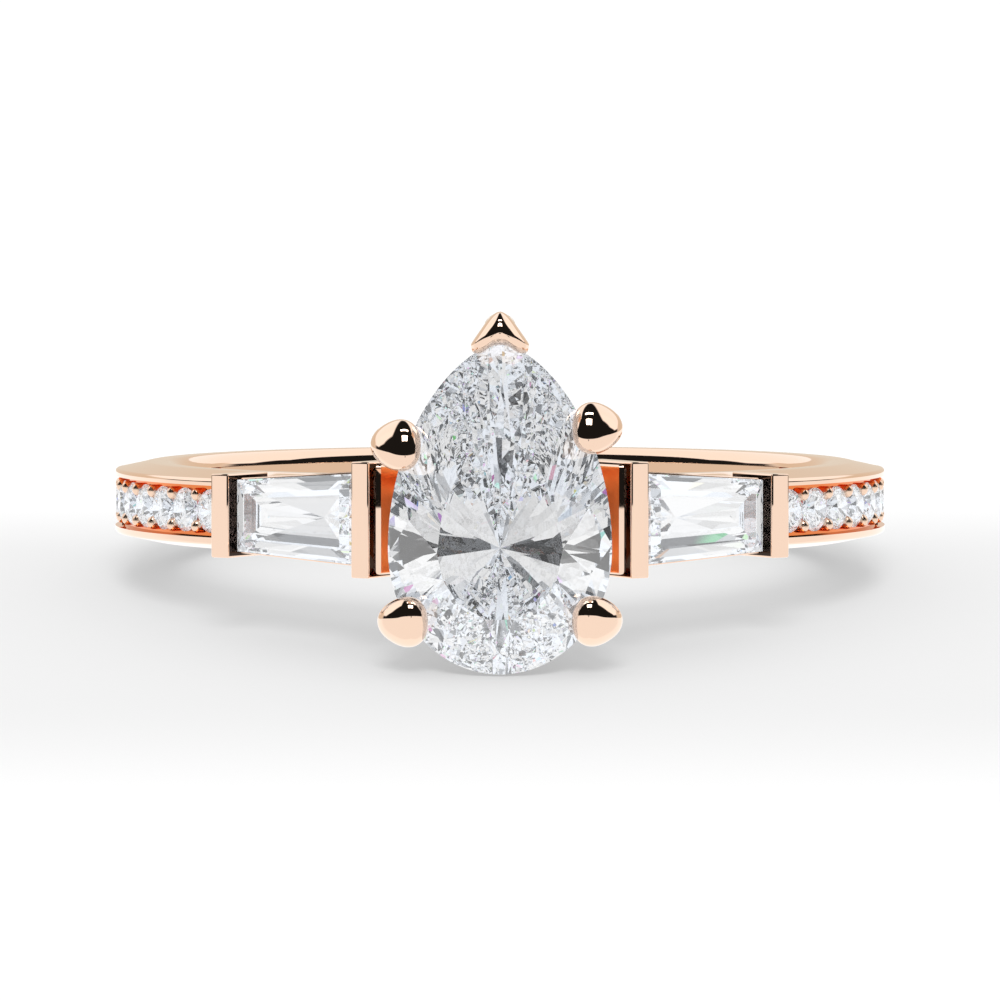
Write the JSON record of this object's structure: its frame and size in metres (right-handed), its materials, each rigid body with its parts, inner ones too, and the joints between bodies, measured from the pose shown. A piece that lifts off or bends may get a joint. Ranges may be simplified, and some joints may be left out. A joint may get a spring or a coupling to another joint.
{
  "type": "engagement ring",
  "caption": "Rose gold engagement ring: upright pear stone in a claw basket, a tapered baguette between bars on each side, pave shoulders and a plain domed back.",
  "frame": {"origin": "centre of the finger hole", "axes": "+Z along the finger hole, towards the point of the pear; -Y towards the head; +X to the right as the head is looked at"},
  "size_m": [0.0204, 0.0241, 0.0089],
  "materials": {
    "rose_gold": "polished rose gold",
    "centre_diamond": "clear polished pear-cut diamond",
    "side_diamond": "clear polished tapered baguette diamond",
    "pave_diamond": "clear polished round diamond"
  },
  "bodies": {
    "root": {"shank": "rose_gold", "pave_stone_left_1": "pave_diamond", "pave_stone_left_2": "pave_diamond", "pave_stone_left_3": "pave_diamond", "pave_stone_left_4": "pave_diamond", "pave_stone_left_5": "pave_diamond", "pave_stone_left_6": "pave_diamond", "pave_stone_left_7": "pave_diamond", "pave_stone_left_8": "pave_diamond", "pave_stone_right_1": "pave_diamond", "pave_stone_right_2": "pave_diamond", "pave_stone_right_3": "pave_diamond", "pave_stone_right_4": "pave_diamond", "pave_stone_right_5": "pave_diamond", "pave_stone_right_6": "pave_diamond", "pave_stone_right_7": "pave_diamond", "pave_stone_right_8": "pave_diamond", "pave_grains_left": "rose_gold", "pave_grains_right": "rose_gold", "outer_bar_left": "rose_gold", "outer_bar_right": "rose_gold", "inner_bar_left": "rose_gold", "inner_bar_right": "rose_gold", "baguette_left": "side_diamond", "baguette_right": "side_diamond", "baguette_box_left": "rose_gold", "baguette_box_right": "rose_gold", "cheek_left": "rose_gold", "cheek_right": "rose_gold", "head_base": "rose_gold", "lower_gallery": "rose_gold", "upper_gallery": "rose_gold", "claw_point": "rose_gold", "claw_upper_left": "rose_gold", "claw_upper_right": "rose_gold", "claw_lower_left": "rose_gold", "claw_lower_right": "rose_gold", "centre_stone": "centre_diamond"}
  },
  "joints": []
}
